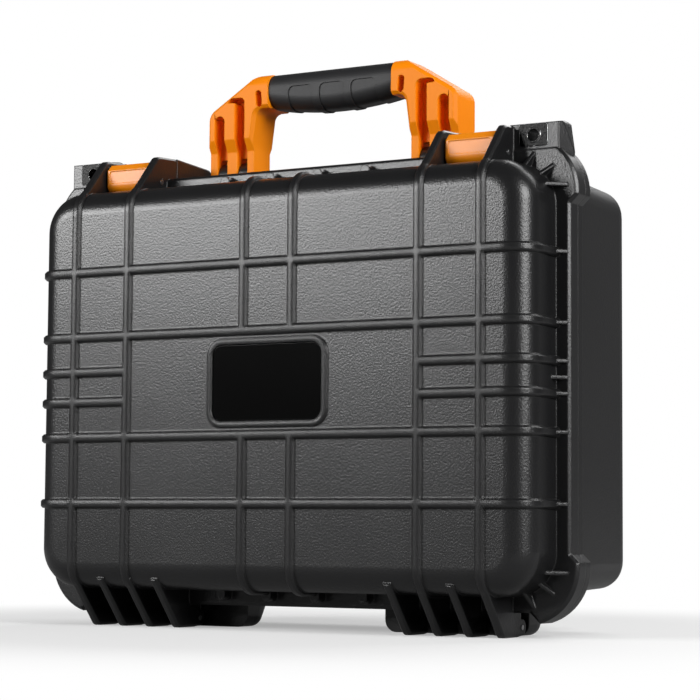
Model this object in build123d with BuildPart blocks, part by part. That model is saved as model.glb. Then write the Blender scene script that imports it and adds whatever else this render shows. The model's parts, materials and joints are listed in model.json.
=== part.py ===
"""Hard protective case, standing on its hinge feet with the ribbed lid to the front.

Millimetres, +Z up, +X to the right. The lid faces -Y and the deep base lies behind it.
The origin is under the middle of the case, on the floor.
"""

import os
from math import cos, radians, sin, tan

from build123d import *

# Both shells
shell_w = 375.0  # outside width of the walls at the parting plane
shell_h = 273.0  # outside height of the walls at the parting plane
lid_corner_r = 28.0  # outside radius of the lid's long corners
base_corner_r = 20.0
wall = 3.4
lid_draft = 0.8  # degrees that the walls lean in from the parting plane
base_draft = 1.8
root_in = 2.6  # fences, ears and feet start this deep in the drafted wall
stand_h = 15.5  # rims above the floor
lid_depth = 52.4  # parting plane to the lid's flat panel
lid_end_r = 17.0  # rounding between the panel and the walls
base_depth = 120.0  # parting plane to the base's back
base_end_r = 24.0
flare_out = 3.0  # base's walls thicken towards the rim
flare_d = 8.0
flare_angle = 20.0
pad_h = 2.0  # low pads on the back, for lying flat
pad_w = 44.0
pad_l = 24.0
pad_r = 6.0
pad_in_x = 62.5  # pads' centres inside the walls
pad_in_z = 51.5

# Beads moulded on the lid
bead_w = 6.0
bead_h = 2.6
bead_edge = 1.3
outer_bead_in = 33.0  # outer bead and fence beside each latch, inside the wall
latch_bay = 43.5  # outer to inner bead, with the latch between them
centre_bead_x = 18.5
high_bead_z = 78.8  # beads above and below the centre line
low_bead_z = 34.2
short_bead_z = 10.2  # short beads beside the centre line
ledge_web_x = 54.5  # extra web on the ledge over the top wall

# Rim, bumpers and seal
rim_side = 9.4  # rim beyond the side walls
rim_top = 10.0  # rim beyond the top and bottom walls
rim_r = 31.0
rim_edge = 1.8
rim_lid = 12.0  # depth of the lid's rim
rim_base = 9.0  # depth of the base's rim
bumper_out = 5.4  # corner bumper beyond the rim, at the sides
bumper_up = 7.8  # corner bumper beyond the rim, at the top and bottom
bumper_r = 37.0
bumper_side = 37.0  # length of a bumper down the side, from the rim's corner
bumper_end = 28.0  # length of a bumper along the top or bottom
seal_out = 2.0  # seal's centre line outside the walls
groove_w = 5.4
groove_d = 6.0
tongue_w = 2.2
tongue_h = 3.2
seal_w = 4.8
seal_t = 2.5
web_t = 2.2  # thin webs on the side ledge
web_gap = 1.2  # ledge left bare outside a web
web_side_h = 10.0  # reach of a side web along the wall
web_top_w = 7.0
web_top_h = 6.6
web_top_d = 9.0
corner_web_rise = 12.7  # level web over the start of each corner
corner_web_out = 9.3
corner_web_turns = (45, 70)  # degrees round the corner of its two other webs

# Label plate and its frame
label_w = 83.2
label_h = 50.0
label_r = 7.0
label_t = 1.4
label_sink = 0.6
label_gap = 0.3
label_edge = 0.5
frame_w = 4.2
frame_h = 1.7
frame_edge = 0.8

# Fences, latches and their pins
fence_t = 6.0
fence_rise = 25.5  # fence's top edge above the top wall, at the parting plane
fence_dip = 1.3  # front corner of that edge, lower than its rear end
fence_drop = 4.9  # where the fence leaves the bead, below the top wall
fence_start = 5.9  # and behind the beads' front
fence_lean = 32.3  # depth from the beads to the fence's top corner
fence_behind = 33.0  # base's fence behind the rim
fence_fall = 2.0
fence_corner_r = 8.0
brow_r = 6.0
fence_tail = 9.0
latch_gap = 0.6  # latch to fence, on each side
latch_rise = 21.1  # latch's top above the top wall
latch_brow = 4.2  # slope between the latch's front and its top
latch_pivot_rise = 6.9
latch_hub_r = 6.0
hub_play = 0.6  # hub to the front of the rim
latch_behind = 28.0  # latch's tail behind the rim
latch_skin = 3.0
latch_edge = 1.4
latch_panel_in = 3.2  # sunk panel on the latch's front, inside its edges
latch_panel_d = 0.4
latch_panel_r = 1.6
latch_end_t = 4.0
lip_out = 3.0
heel_d = 6.0
rim_relief = 0.4  # latch's heel short of the rim in front of it
rim_clear = 0.5  # latch over the rims
latch_pin_r = 1.8
pin_proud = 0.4
run_gap = 0.05  # radial clearance of a turning pin

# Hinge feet
hinge_back = 2.0  # hinge axis behind the parting plane
hinge_z = 6.0  # hinge axis above the floor
knuckle_r = 5.2
hinge_pin_r = 1.75
rib_pitch = 22.0
rib_count = 4  # lid ribs in a foot, the outermost on the outer bead
knuckle_gap = 0.4
rib_start_d = 4.0  # lid rib leaves the front, behind the beads
rib_start_rise = 6.5  # and above the bottom wall
rib_toe_d = 31.2  # lid rib reaches the floor, behind the beads
rib_toe_r = 6.0
foot_in = 101.0  # inner end of the base's foot, from the outer rib
foot_heel = 37.0  # base foot on the floor, behind the hinge axis
foot_back = 47.0
foot_root = 5.0  # foot's root on the wall, behind that
foot_plan_r = 16.0  # rounding of the rear corners, seen from above
slot_d = 10.0  # slot behind the hinge axis for a lid rib
foot_r = 8.0

# Lock tabs at the two top corners
tab_in = 25.4  # hole's axis inside the rim's edge
tab_hole_rise = 7.9  # hole's axis above the rim
tab_rise = 17.4  # tab above the rim, at the parting plane
tab_top_in = 6.5  # tab's outer edge inside the rim's edge, at its top
tab_low_in = 1.6
tab_front_in = 8.0  # and on the lid's face
tab_rear_in = 11.0  # and on the base's face
tab_front_dip = 1.9  # top of the lid's face, below the tab's top
tab_rear_dip = 4.0
tab_back = 0.8  # tab's faces set back from the rims'
tab_shoulder = 4.0
lock_r = 4.0
collar_t = 1.1
plate_w = 19.6
plate_h = 14.1
plate_t = 1.0
plate_sink = 0.6
plate_r = 1.5
collar_short = 0.2  # collar ends short of the parting plane
collar_proud = 0.4  # and outside the plate

# Handle
handle_back = 39.0  # handle's middle behind the parting plane
pivot_rise = 16.5  # handle's pin above the top wall
leg_gap = 9.5  # leg to the fence beside it
leg_w = 36.0
leg_low_t = 21.0
leg_high_t = 30.0
leg_edge = 2.2
step_low = 16.0  # heights above the pin
step_high = 24.5
step_low_r = 1.5
step_high_r = 9.0
handle_rise = 69.0
shoulder_rise = 40.0
crown_in = 28.5  # widths inwards from a leg's middle
shoulder_r = 9.0
crown_r = 9.0
throat_rise = 45.0
throat_in = 21.5
throat_low = 19.0
throat_r = 6.0
throat_low_r = 30.0
prong_gap = 8.4
gap_x = 8.3  # prong gaps either side of the leg's middle
gap_rise = 12.0
outer_groove_rise = 37.5
inner_groove_rise = 49.5
groove_web = 9.0
slit_in = 24.0
slit_w = 5.0
slit_tilt = 5.0
slit_low = 46.0
slit_high = 57.5
ear_t = 8.0
ear_r = 9.5
ear_foot = 24.0
handle_pin_r = 2.5
grip_in = 31.5
grip_end_h = 24.0
grip_mid_h = 29.0
grip_t = 28.0
grip_r = 10.8
core_h = 14.0
core_t = 18.0
core_r = 4.0

# Valve in the base's top wall
valve_r = 13.0
valve_cap_h = 4.0
valve_edge = 1.2
valve_stem_r = 7.0
valve_boss = 1.6
valve_notches = 6
notch_l = 8.0
notch_w = 2.0
valve_seal_r = 9.6
valve_seal_t = 1.4

# Foam
foam_gap = 0.6
foam_pad_t = 12.0
foam_cell = 15.0
pocket_cells_x = 14
pocket_cells_z = 9
pocket_d = 60.0
foam_top = 2.0  # base foam short of the parting plane
lid_foam_t = 38.0

parting_y = (lid_depth + bead_h - base_depth - pad_h) / 2
bead_y = parting_y - lid_depth - bead_h
panel_y = parting_y - lid_depth
rim_w = shell_w + 2 * rim_side
rim_h = shell_h + 2 * rim_top
mid_z = stand_h + rim_h / 2  # centre line of both shells
wide = 2 * rim_w
wall_top = shell_h / 2
seal_line_r = lid_corner_r + seal_out
hinge_y = parting_y + hinge_back
latch_outer_x = shell_w / 2 - outer_bead_in
latch_inner_x = latch_outer_x - latch_bay
latch_mid_x = latch_outer_x - latch_bay / 2
latch_span = latch_bay + 2 * fence_t  # both fences and the bay between
leg_x = latch_inner_x - fence_t / 2 - leg_gap - leg_w / 2
crown_x = leg_x - crown_in
throat_x = leg_x - throat_in
slit_x = leg_x - slit_in
grip_x = leg_x - grip_in
rim_front_y = parting_y - rim_lid
rim_rear_y = parting_y + rim_base
latch_y = rim_front_y - hub_play - latch_hub_r
latch_z = mid_z + wall_top + latch_pivot_rise
knuckle_xs = [latch_outer_x - rib_pitch * n for n in range(rib_count)]
handle_y = parting_y + handle_back
pivot_z = mid_z + wall_top + pivot_rise
tab_x = rim_w / 2 - tab_in
tab_z = rim_h / 2 + tab_hole_rise
sides = (-1, 1)
corners = [(side, up) for side in sides for up in sides]

to_front = Plane((0, parting_y, mid_z), x_dir=(1, 0, 0), z_dir=(0, -1, 0))
to_back = Plane((0, parting_y, mid_z), x_dir=(-1, 0, 0), z_dir=(0, 1, 0))


def lid_form(grow):
    """The rounded box of the lid, grown or shrunk, with its front rounded."""
    with BuildPart() as form:
        with BuildSketch(to_front):
            RectangleRounded(shell_w + 2 * grow, shell_h + 2 * grow, lid_corner_r + grow)
        extrude(amount=lid_depth + grow, taper=lid_draft)
        fillet(form.faces().sort_by(Axis.Y)[0].edges(), lid_end_r + grow)
    return form.part


def base_form(grow):
    """The rounded box of the base, grown or shrunk, with its back rounded."""
    with BuildPart() as form:
        with BuildSketch(to_back):
            RectangleRounded(shell_w + 2 * grow, shell_h + 2 * grow, base_corner_r + grow)
        extrude(amount=base_depth + grow, taper=base_draft)
        fillet(form.faces().sort_by(Axis.Y)[-1].edges(), base_end_r + grow)
    return form.part


def rim_ring(plane, depth):
    """One rim, with a thicker bumper that ramps out round each corner, up to the tabs."""
    half_w = rim_w / 2
    half_h = rim_h / 2
    run_w = half_w - bumper_end
    run_h = half_h - bumper_side
    far = 2 * bumper_up
    with BuildPart() as ring:
        with BuildSketch(plane):
            RectangleRounded(rim_w + 2 * bumper_out, rim_h + 2 * bumper_up, bumper_r)
            for way in sides:
                with BuildLine():
                    Polyline(
                        (way * half_w, -run_h),
                        (way * half_w, run_h),
                        (way * (half_w + far), run_h + far),
                        (way * (half_w + far), -run_h - far),
                        close=True,
                    )
                make_face(mode=Mode.SUBTRACT)
            with BuildLine():
                Polyline(
                    (-run_w, -half_h),
                    (run_w, -half_h),
                    (run_w + far, -half_h - far),
                    (-run_w - far, -half_h - far),
                    close=True,
                )
            make_face(mode=Mode.SUBTRACT)
            with Locations((0, half_h)):
                Rectangle(wide, far, align=(Align.CENTER, Align.MIN), mode=Mode.SUBTRACT)
            RectangleRounded(rim_w, rim_h, rim_r)
        extrude(amount=depth)
        end = ring.faces().sort_by(Axis(plane.origin, plane.z_dir))[-1]
        chamfer(end.edges(), rim_edge)
    return ring.part


def lock_tabs(plane, depth, face_in, dip):
    """The two tabs over the top corners, lower and narrower on the face away from the parting plane."""
    low_z = rim_h / 2 - rim_r
    top_z = rim_h / 2 + tab_rise
    low_x = shell_w / 2 - rim_side
    out_x = rim_w / 2 - tab_low_in
    face_x = rim_w / 2 - face_in
    face_y = (plane.origin + depth * plane.z_dir).Y
    with BuildPart() as tabs:
        for side in sides:
            with BuildSketch(plane):
                with BuildLine():
                    FilletPolyline(
                        (side * latch_outer_x, low_z),
                        (side * latch_outer_x, top_z),
                        (side * (rim_w / 2 - tab_top_in), top_z),
                        (side * out_x, rim_h / 2 - tab_shoulder),
                        (side * low_x, low_z),
                        radius=[tab_shoulder, tab_shoulder, tab_shoulder],
                    )
                    Line((side * low_x, low_z), (side * latch_outer_x, low_z))
                make_face()
            extrude(amount=depth)
            with BuildSketch(Plane.XY.offset(mid_z + low_z)):
                with BuildLine():
                    Polyline(
                        (side * out_x, parting_y),
                        (side * face_x, face_y),
                        (side * rim_w, face_y),
                        (side * rim_w, parting_y),
                        close=True,
                    )
                make_face()
            extrude(amount=rim_h, mode=Mode.SUBTRACT)
        with BuildSketch(Plane.YZ):
            with BuildLine():
                Polyline(
                    (parting_y, mid_z + top_z),
                    (face_y, mid_z + top_z - dip),
                    (face_y, mid_z + top_z + dip),
                    (parting_y, mid_z + top_z + dip),
                    close=True,
                )
            make_face()
        extrude(amount=wide, both=True, mode=Mode.SUBTRACT)
    return tabs.part


def outline_edges(part, side_axis, stops):
    """Edges of the two side faces, apart from those that lie on a stop plane."""
    edges = part.faces().filter_by(side_axis).edges()
    return edges.filter_by(lambda e: all(abs(stop.to_local_coords(e.center()).Z) > 0.01 for stop in stops))


def along_x(y, z):
    """A plane whose normal is +X, with its origin at this height and depth."""
    return Plane((0, y, z), x_dir=(0, 1, 0), z_dir=(1, 0, 0))


lid_outside = lid_form(0)
lid_beaded = lid_form(bead_h)
lid_inside = lid_form(-wall)
base_outside = base_form(0)
base_inside = base_form(-wall)


def bead(centre_x, centre_z, size_x, size_z, side_axis, stops):
    """One bead, cut from the grown lid and bevelled along both sides."""
    with BuildPart() as strip:
        add(lid_beaded)
        with Locations((centre_x, parting_y, mid_z + centre_z)):
            Box(size_x, 4 * lid_depth, size_z, mode=Mode.INTERSECT)
        chamfer(outline_edges(strip.part, side_axis, [to_front, *stops]), bead_edge)
    return strip.part


beads = [
    bead(side * x, 0, bead_w, wide, Axis.X, [])
    for side in sides
    for x in (latch_outer_x, latch_inner_x)
]
half_run = (rim_h / 2 - low_bead_z) + bead_w
beads += [
    bead(
        side * centre_bead_x,
        up * (low_bead_z + half_run / 2),
        bead_w,
        half_run,
        Axis.X,
        [Plane.XY.offset(mid_z + up * low_bead_z)],
    )
    for side in sides
    for up in sides
]
beads += [
    bead(0, up * z, wide, bead_w, Axis.Z, [])
    for up in sides
    for z in (high_bead_z, low_bead_z)
]
short_run = rim_w / 2 - latch_inner_x
beads += [
    bead(
        side * (latch_inner_x + short_run / 2),
        up * short_bead_z,
        short_run,
        bead_w,
        Axis.Z,
        [Plane.YZ.offset(side * latch_inner_x)],
    )
    for side in sides
    for up in sides
]

# Fence of the lid: it leaves the bead at the lid's upper edge and leans back to a rounded corner
fence_z = mid_z + wall_top + fence_rise
fence_foot_z = mid_z + wall_top - fence_drop
with BuildPart() as lid_fence:
    with BuildSketch(Plane.YZ.offset(-fence_t / 2)):
        with BuildLine():
            Polyline(
                (parting_y, fence_foot_z),
                (bead_y + fence_start, fence_foot_z),
                (bead_y + fence_lean, fence_z - fence_dip),
                (parting_y, fence_z),
                close=True,
            )
        make_face()
    extrude(amount=fence_t)
    corner = lid_fence.edges().filter_by(Axis.X).sort_by(Axis.Z)[-2]
    fillet(corner, fence_corner_r)
    leaning = outline_edges(lid_fence.part, Axis.X, [to_front]).group_by(Axis.Z)[1:]
    chamfer([edge for group in leaning for edge in group], bead_edge)

# Rib of the lid's foot: it leaves the lower front edge, runs back along the floor and
# ends in the hinge knuckle
rib_start_z = mid_z - wall_top + rib_start_rise
with BuildPart() as lid_foot_rib:
    with BuildSketch(Plane.YZ.offset(-fence_t / 2)):
        with BuildLine():
            Polyline(
                (hinge_y, hinge_z),
                (hinge_y, hinge_z - knuckle_r),
                (hinge_y - knuckle_r, 0),
                (bead_y + rib_toe_d, 0),
                (bead_y + rib_start_d, rib_start_z),
                (bead_y + lid_end_r, rib_start_z + lid_end_r),
                (parting_y, rib_start_z),
                (parting_y, hinge_z),
                close=True,
            )
        make_face()
    extrude(amount=fence_t)
    with Locations(along_x(hinge_y, hinge_z)):
        Cylinder(knuckle_r, fence_t)
    toe = lid_foot_rib.edges().filter_by(Axis.X).group_by(Axis.Z)[0].sort_by(Axis.Y)[0]
    fillet(toe, rib_toe_r)
    front = lid_foot_rib.faces().filter_by(Axis.X).edges()
    slope = front.filter_by(lambda e: e.center().Y < bead_y + rib_toe_d and e.center().Z < rib_start_z)
    chamfer(slope, bead_edge)

# Lid shell
lid_rim = rim_ring(to_front, rim_lid)
lid_tabs = lock_tabs(to_front, rim_lid - tab_back, tab_front_in, tab_front_dip)
with BuildPart() as lid_shell:
    add(lid_outside)
    add(beads)
    add(lid_rim)
    add(lid_tabs)
    with Locations(*[(side * x, 0, 0) for side in sides for x in (latch_outer_x, latch_inner_x)]):
        add(lid_fence.part)
    with Locations(*[(side * x, 0, 0) for side in sides for x in knuckle_xs]):
        add(lid_foot_rib.part)
    # Thin webs on the side ledge
    web_x = shell_w / 2 + rim_side - web_gap
    web_root_x = shell_w / 2 - wall
    level_web_z = wall_top - lid_corner_r + corner_web_rise
    full_webs = [0, level_web_z, -level_web_z]
    short_webs = [up * z for up in sides for z in (high_bead_z, low_bead_z, short_bead_z)]
    for side in sides:
        with BuildSketch(*[Plane.XY.offset(mid_z + z - web_t / 2) for z in full_webs]):
            with BuildLine():
                Polyline(
                    (side * web_root_x, rim_front_y),
                    (side * web_x, rim_front_y),
                    (side * web_root_x, rim_front_y - web_side_h),
                    close=True,
                )
            make_face()
        extrude(amount=web_t)
        with BuildSketch(*[Plane.XY.offset(mid_z + z - web_t / 2) for z in short_webs]):
            with BuildLine():
                Polyline(
                    (side * web_root_x, rim_front_y),
                    (side * web_x, rim_front_y),
                    (side * (shell_w / 2 + bead_h), rim_front_y - web_side_h / 2),
                    (side * web_root_x, rim_front_y - web_side_h / 2),
                    close=True,
                )
            make_face()
        extrude(amount=web_t)
    # Webs that fan out round each corner
    for side, up in corners:
        for turn in corner_web_turns:
            out = Vector(side * cos(radians(turn)), 0, up * sin(radians(turn)))
            root = Vector(
                side * (shell_w / 2 - lid_corner_r), parting_y, mid_z + up * (wall_top - lid_corner_r)
            )
            with BuildSketch(Plane(root, x_dir=out, z_dir=out.cross(Vector(0, -1, 0)))):
                with BuildLine():
                    Polyline(
                        (lid_corner_r - wall, rim_lid),
                        (lid_corner_r + corner_web_out, rim_lid),
                        (lid_corner_r - wall, rim_lid + web_side_h),
                        close=True,
                    )
                make_face()
            extrude(amount=web_t / 2, both=True)
    # Round webs on the ledge over the top wall and under the bottom wall
    web_plane = to_front.offset(rim_lid)
    with BuildSketch(web_plane):
        with GridLocations(2 * centre_bead_x, shell_h, 2, 2):
            SlotCenterToCenter(2 * web_top_h - web_top_w, web_top_w, rotation=90)
        with GridLocations(2 * ledge_web_x, shell_h, 2, 2):
            SlotCenterToCenter(2 * web_top_h - web_top_w, web_top_w, rotation=90)
    extrude(amount=web_top_d)
    # Frame of the label plate
    panel_plane = to_front.offset(lid_depth)
    with BuildSketch(panel_plane):
        RectangleRounded(label_w + 2 * frame_w, label_h + 2 * frame_w, label_r + frame_w)
    extrude(amount=frame_h)
    frame_face = lid_shell.faces().filter_by(Axis.Y).filter_by(
        lambda f: abs(f.center().Y - (panel_y - frame_h)) < 0.01
    )
    chamfer(frame_face.edges(), frame_edge)
    with BuildSketch(panel_plane.offset(frame_h)):
        RectangleRounded(label_w + 2 * label_gap, label_h + 2 * label_gap, label_r + label_gap)
    extrude(amount=-(frame_h + label_sink), mode=Mode.SUBTRACT)
    # Hollow, seal groove, holes
    add(lid_inside, mode=Mode.SUBTRACT)
    with BuildSketch(to_front):
        RectangleRounded(
            shell_w + 2 * seal_out + groove_w, shell_h + 2 * seal_out + groove_w, seal_line_r + groove_w / 2
        )
        RectangleRounded(
            shell_w + 2 * seal_out - groove_w,
            shell_h + 2 * seal_out - groove_w,
            seal_line_r - groove_w / 2,
            mode=Mode.SUBTRACT,
        )
    extrude(amount=groove_d, mode=Mode.SUBTRACT)
    latch_axis = along_x(latch_y, latch_z)
    with Locations(latch_axis.offset(-latch_mid_x), latch_axis.offset(latch_mid_x)):
        Cylinder(latch_pin_r, latch_span, mode=Mode.SUBTRACT)
    with Locations(along_x(hinge_y, hinge_z)):
        Cylinder(hinge_pin_r + run_gap, wide, mode=Mode.SUBTRACT)
    with BuildSketch(to_front):
        with Locations((-tab_x, tab_z), (tab_x, tab_z)):
            Circle(lock_r + collar_t)
    extrude(amount=rim_lid, mode=Mode.SUBTRACT)
    with BuildSketch(to_front.offset(rim_lid - tab_back)):
        with Locations((-tab_x, tab_z), (tab_x, tab_z)):
            RectangleRounded(plate_w, plate_h, plate_r)
    extrude(amount=-plate_sink, mode=Mode.SUBTRACT)
lid_shell.part.label = "lid_shell"

# Fence of the base, behind each fence of the lid
root_z = mid_z + wall_top - root_in
with BuildPart() as base_fence:
    with BuildSketch(Plane.YZ.offset(-fence_t / 2)):
        with BuildLine():
            Polyline(
                (parting_y, root_z),
                (parting_y, fence_z),
                (rim_rear_y + fence_behind, fence_z - fence_fall),
                (rim_rear_y + fence_behind + fence_tail, mid_z + rim_h / 2),
                (rim_rear_y + fence_behind + fence_tail, root_z),
                close=True,
            )
        make_face()
    extrude(amount=fence_t)
    brow = base_fence.edges().filter_by(Axis.X).group_by(Axis.Z)[-2]
    fillet(brow, brow_r)

# Ear that carries the handle's pin
with BuildPart() as ear:
    with BuildSketch(Plane.YZ.offset(-ear_t / 2)):
        with Locations((handle_y, pivot_z)):
            Circle(ear_r)
        with Locations((handle_y, root_z)):
            Rectangle(ear_foot, wall / 2)
        make_hull()
    extrude(amount=ear_t)

# Foot bracket of the base, from the hinge axis back along the bottom wall
foot_w = foot_in + fence_t / 2
foot_inner_x = latch_outer_x - foot_in
foot_root_z = mid_z - wall_top + root_in
with BuildPart() as foot:
    with BuildSketch(Plane.YZ.offset(foot_inner_x)):
        with BuildLine():
            Polyline(
                (hinge_y, hinge_z - knuckle_r),
                (hinge_y + knuckle_r, 0),
                (hinge_y + foot_heel, 0),
                (hinge_y + foot_back, mid_z - rim_h / 2),
                (hinge_y + foot_back + foot_root, foot_root_z),
                (hinge_y, foot_root_z),
                close=True,
            )
        make_face()
    extrude(amount=foot_w)
    heel = foot.faces().sort_by(Axis.Y)[-2:].edges()
    foot_mid_x = foot_inner_x + foot_w / 2
    rear_corners = heel.filter_by(lambda e: abs(e.center().X - foot_mid_x) > foot_w / 2 - 0.01)
    fillet(rear_corners, foot_plan_r)
    inner_end = foot.faces().sort_by(Axis.X)[0].edges().group_by(Axis.Z)[0]
    fillet(inner_end, foot_r)
    knuckle_run = knuckle_xs[0] - knuckle_xs[-1]
    with Locations(along_x(hinge_y, hinge_z).offset(knuckle_xs[-1] + knuckle_run / 2)):
        Cylinder(knuckle_r, knuckle_run)
    slot_w = fence_t + 2 * knuckle_gap
    slot_front = hinge_y - knuckle_r - knuckle_gap
    slot_l = hinge_y + slot_d - slot_front
    slot_at = (slot_front + slot_l / 2, stand_h / 2)
    with Locations(*[(x, *slot_at) for x in knuckle_xs]):
        Box(slot_w, slot_l, stand_h, mode=Mode.SUBTRACT)
    bare_w = knuckle_xs[-1] - foot_inner_x
    with Locations((foot_inner_x + bare_w / 2, *slot_at)):
        Box(bare_w, slot_l, stand_h, mode=Mode.SUBTRACT)

# Base shell
base_rim = rim_ring(to_back, rim_base)
base_tabs = lock_tabs(to_back, rim_base - tab_back, tab_rear_in, tab_rear_dip)
foot_mirrored = foot.part.mirror(Plane.YZ)
valve_z = mid_z + wall_top - handle_back * tan(radians(base_draft)) + valve_boss
with BuildPart() as base_shell:
    add(base_outside)
    add(base_rim)
    add(base_tabs)
    with BuildSketch(to_back.offset(rim_base)):
        RectangleRounded(shell_w + 2 * flare_out, shell_h + 2 * flare_out, base_corner_r + flare_out)
    extrude(amount=flare_d, taper=flare_angle)
    with Locations(*[(side * x, 0, 0) for side in sides for x in (latch_outer_x, latch_inner_x)]):
        add(base_fence.part)
    with Locations(*[(side * leg_x + gap, 0, 0) for side in sides for gap in (-gap_x, gap_x)]):
        add(ear.part)
    add(foot.part)
    add(foot_mirrored)
    with Locations((0, handle_y, valve_z)):
        Cylinder(valve_r, valve_boss + root_in, align=(Align.CENTER, Align.CENTER, Align.MAX))
    with BuildSketch(to_back.offset(base_depth + pad_h)):
        with GridLocations(shell_w - 2 * pad_in_x, shell_h - 2 * pad_in_z, 2, 2):
            RectangleRounded(pad_w, pad_l, pad_r)
    extrude(amount=-(pad_h + wall / 2))
    add(base_inside, mode=Mode.SUBTRACT)
    with BuildSketch(to_front):
        RectangleRounded(
            shell_w + 2 * seal_out + tongue_w, shell_h + 2 * seal_out + tongue_w, seal_line_r + tongue_w / 2
        )
        RectangleRounded(
            shell_w + 2 * seal_out - tongue_w,
            shell_h + 2 * seal_out - tongue_w,
            seal_line_r - tongue_w / 2,
            mode=Mode.SUBTRACT,
        )
    extrude(amount=tongue_h)
    handle_axis = along_x(handle_y, pivot_z)
    with Locations(handle_axis.offset(-leg_x), handle_axis.offset(leg_x)):
        Cylinder(handle_pin_r, leg_w, mode=Mode.SUBTRACT)
    with Locations(along_x(hinge_y, hinge_z)):
        Cylinder(hinge_pin_r, wide, mode=Mode.SUBTRACT)
    with Locations((0, handle_y, valve_z)):
        Cylinder(valve_stem_r + run_gap, 6 * wall, mode=Mode.SUBTRACT)
        Cylinder(valve_seal_r, 2 * valve_seal_t, mode=Mode.SUBTRACT)
    with BuildSketch(to_back):
        with Locations((-tab_x, tab_z), (tab_x, tab_z)):
            Circle(lock_r + collar_t)
    extrude(amount=rim_base, mode=Mode.SUBTRACT)
    with BuildSketch(to_back.offset(rim_base - tab_back)):
        with Locations((-tab_x, tab_z), (tab_x, tab_z)):
            RectangleRounded(plate_w, plate_h, plate_r)
    extrude(amount=-plate_sink, mode=Mode.SUBTRACT)
base_shell.part.label = "base_shell"

# Seal strip in the lid's groove
with BuildPart() as seal:
    with BuildSketch(to_front.offset(groove_d)):
        RectangleRounded(
            shell_w + 2 * seal_out + seal_w, shell_h + 2 * seal_out + seal_w, seal_line_r + seal_w / 2
        )
        RectangleRounded(
            shell_w + 2 * seal_out - seal_w,
            shell_h + 2 * seal_out - seal_w,
            seal_line_r - seal_w / 2,
            mode=Mode.SUBTRACT,
        )
    extrude(amount=-seal_t)
seal.part.label = "lid_seal"

# Label plate in its frame
with BuildPart() as label_plate:
    with BuildSketch(to_front.offset(lid_depth - label_sink)):
        RectangleRounded(label_w, label_h, label_r)
    extrude(amount=label_t)
    chamfer(label_plate.faces().sort_by(Axis.Y)[0].edges(), label_edge)
label_plate.part.label = "label_plate"


def pin(radius, low_x, high_x, y, z):
    """A straight steel pin along X."""
    with BuildPart() as rod:
        with Locations(along_x(y, z).offset((low_x + high_x) / 2)):
            Cylinder(radius, abs(high_x - low_x))
    return rod


# Steel pins of the hinges, the latches and the handle
sides_named = ((-1, "left"), (1, "right"))
pins = []
end_out = fence_t / 2 + pin_proud
for side, word in sides_named:
    hinge_pin = pin(
        hinge_pin_r, side * (knuckle_xs[-1] - end_out), side * (knuckle_xs[0] + end_out), hinge_y, hinge_z
    )
    hinge_pin.part.label = f"hinge_pin_{word}"
    latch_pin = pin(
        latch_pin_r, side * (latch_inner_x - end_out), side * (latch_outer_x + end_out), latch_y, latch_z
    )
    latch_pin.part.label = f"latch_pin_{word}"
    handle_pin = pin(
        handle_pin_r,
        side * (leg_x - leg_w / 2 - pin_proud),
        side * (leg_x + leg_w / 2 + pin_proud),
        handle_y,
        pivot_z,
    )
    handle_pin.part.label = f"handle_pin_{word}"
    pins += [hinge_pin, latch_pin, handle_pin]

# Latch: a hub round its pin, a shell that rests over the rims and a finger lip behind
latch_w = latch_bay - fence_t - 2 * latch_gap
latch_face_y = latch_y - latch_hub_r
latch_tail_y = rim_rear_y + latch_behind
latch_top_z = mid_z + wall_top + latch_rise
latch_low_z = mid_z + rim_h / 2 + rim_clear
heel_y = rim_rear_y + heel_d
with BuildPart() as latch:
    with BuildSketch(Plane.YZ.offset(-latch_w / 2)):
        with BuildLine():
            Polyline(
                (latch_face_y, latch_z),
                (latch_face_y, latch_top_z - latch_brow),
                (latch_face_y + latch_brow, latch_top_z),
                (latch_tail_y - latch_end_t, latch_top_z),
                (latch_tail_y, latch_top_z - latch_skin),
                (latch_tail_y + lip_out, latch_low_z),
                (latch_tail_y + lip_out - latch_skin, latch_low_z),
                (latch_tail_y - latch_skin, latch_top_z - 2 * latch_skin),
                (heel_y, latch_top_z - 2 * latch_skin),
                (heel_y, latch_low_z),
                (rim_front_y - rim_relief, latch_low_z),
                (latch_y + latch_hub_r, latch_z),
                close=True,
            )
        make_face()
        with Locations((latch_y, latch_z)):
            Circle(latch_hub_r)
    extrude(amount=latch_w)
    outline = latch.faces().filter_by(Axis.X).edges()
    over_hub_z = latch_z + latch_hub_r + latch_skin
    chamfer(outline.filter_by(lambda e: e.center().Z > over_hub_z or e.center().Y < latch_y), latch_edge)
    face_h = latch_top_z - latch_brow - latch_z
    with BuildSketch(Plane((0, latch_face_y, latch_z + face_h / 2), x_dir=(1, 0, 0), z_dir=(0, -1, 0))):
        RectangleRounded(latch_w - 2 * latch_panel_in, face_h - latch_edge, latch_panel_r)
    extrude(amount=-latch_panel_d, mode=Mode.SUBTRACT)
    with Locations((0, (rim_front_y + rim_rear_y) / 2, latch_low_z)):
        Box(
            latch_w - 2 * latch_skin,
            rim_lid + rim_base - latch_skin,
            latch_top_z - latch_skin - latch_low_z,
            align=(Align.CENTER, Align.CENTER, Align.MIN),
            mode=Mode.SUBTRACT,
        )
    with Locations(along_x(latch_y, latch_z)):
        Cylinder(latch_pin_r + run_gap, 2 * latch_w, mode=Mode.SUBTRACT)
latches = []
for side, word in sides_named:
    with BuildPart() as placed:
        with Locations((side * latch_mid_x, 0, 0)):
            add(latch.part)
    placed.part.label = f"latch_{word}"
    latches.append(placed)


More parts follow.
